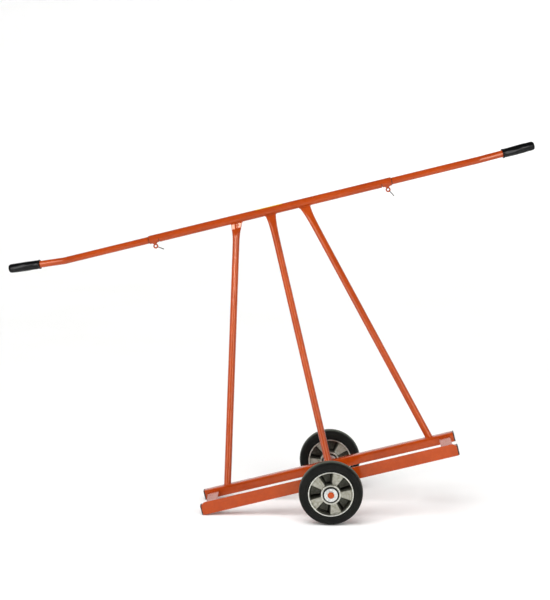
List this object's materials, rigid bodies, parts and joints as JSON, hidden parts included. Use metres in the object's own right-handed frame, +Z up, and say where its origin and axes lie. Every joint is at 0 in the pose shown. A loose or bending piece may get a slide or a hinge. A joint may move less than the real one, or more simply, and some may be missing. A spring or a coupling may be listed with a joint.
{
  "type": "board carrier trolley",
  "caption": "Welded tube carrier for sheets of board: low bed with a lip on one axle, uprights leaning to a cross bar, and telescopic bent handles.",
  "frame": {"origin": "centre of the footprint's bounding box, on the floor that the wheels and the left rail ends stand on", "axes": "+Z up, +X along the rails and the cross bar towards the raised end, +Y from the lip side to the bar side; the axle lies along Y"},
  "size_m": [1.7494, 0.6124, 1.1449],
  "materials": {
    "orange_paint": "satin powder coat",
    "zinc_steel": "bright zinc plated",
    "bearing_steel": "ground",
    "cast_aluminium": "die cast",
    "tyre_rubber": "moulded",
    "seal_rubber": "moulded",
    "grip_rubber": "matte",
    "black_plastic": "moulded",
    "guide_plastic": "moulded",
    "label_film": "printed film, left blank"
  },
  "bodies": {
    "frame": {"front_rail_tube": "orange_paint", "rear_rail_tube": "orange_paint", "front_lip": "orange_paint", "cross_strip_left": "orange_paint", "cross_strip_right": "orange_paint", "rail_end_plugs": "black_plastic", "axle_sleeve": "orange_paint", "axle_shaft": "orange_paint", "axle_washers": "zinc_steel", "retaining_rings": "zinc_steel", "bearing_inner_races": "bearing_steel", "hub_spacers": "bearing_steel", "upright_left": "orange_paint", "upright_middle": "orange_paint", "upright_right": "orange_paint", "main_bar_tube": "orange_paint", "clamp_bosses": "orange_paint", "blank_label": "label_film"},
    "wheel_front": {"tyre_front": "tyre_rubber", "rim_front": "cast_aluminium", "bearing_outer_races_front": "bearing_steel", "bearing_balls_front": "bearing_steel", "hub_seals_front": "seal_rubber"},
    "wheel_rear": {"tyre_rear": "tyre_rubber", "rim_rear": "cast_aluminium", "bearing_outer_races_rear": "bearing_steel", "bearing_balls_rear": "bearing_steel", "hub_seals_rear": "seal_rubber"},
    "slider_left": {"handle_guide_left": "guide_plastic"},
    "handle_left": {"handle_tube_left": "orange_paint", "handle_grip_left": "grip_rubber"},
    "clamp_left": {"eye_screw_left": "orange_paint", "wire_tail_left": "zinc_steel"},
    "slider_right": {"handle_guide_right": "guide_plastic"},
    "handle_right": {"handle_tube_right": "orange_paint", "handle_grip_right": "grip_rubber"},
    "clamp_right": {"eye_screw_right": "orange_paint", "wire_tail_right": "zinc_steel"}
  },
  "joints": [
    {"name": "wheel_front_spin", "type": "hinge", "parent": "frame", "child": "wheel_front", "pos_m": [0.20279, -0.26853, 0.1], "axis": [0, 1, 0], "continuous": true},
    {"name": "wheel_rear_spin", "type": "hinge", "parent": "frame", "child": "wheel_rear", "pos_m": [0.20279, 0.15147, 0.1], "axis": [0, 1, 0], "continuous": true},
    {"name": "handle_left_slide", "type": "slide", "parent": "frame", "child": "slider_left", "axis": [0.9707, 0, 0.2401], "range_m": [0, 0.25]},
    {"name": "handle_left_turn", "type": "hinge", "parent": "slider_left", "child": "handle_left", "pos_m": [-0.3992, 0.25747, 0.8159], "axis": [0.9707, 0, 0.2401], "continuous": true},
    {"name": "clamp_left_turn", "type": "hinge", "parent": "frame", "child": "clamp_left", "pos_m": [-0.3773, 0.25747, 0.79608], "axis": [-0.2401, 0, 0.9707], "range_deg": [-360, 0]},
    {"name": "handle_right_slide", "type": "slide", "parent": "frame", "child": "slider_right", "axis": [-0.9707, 0, -0.2401], "range_m": [0, 0.25]},
    {"name": "handle_right_turn", "type": "hinge", "parent": "slider_right", "child": "handle_right", "pos_m": [0.40167, 0.25747, 1.01398], "axis": [0.9707, 0, 0.2401], "continuous": true},
    {"name": "clamp_right_turn", "type": "hinge", "parent": "frame", "child": "clamp_right", "pos_m": [0.39153, 0.25747, 0.98624], "axis": [-0.2401, 0, 0.9707], "range_deg": [-360, 0]}
  ]
}
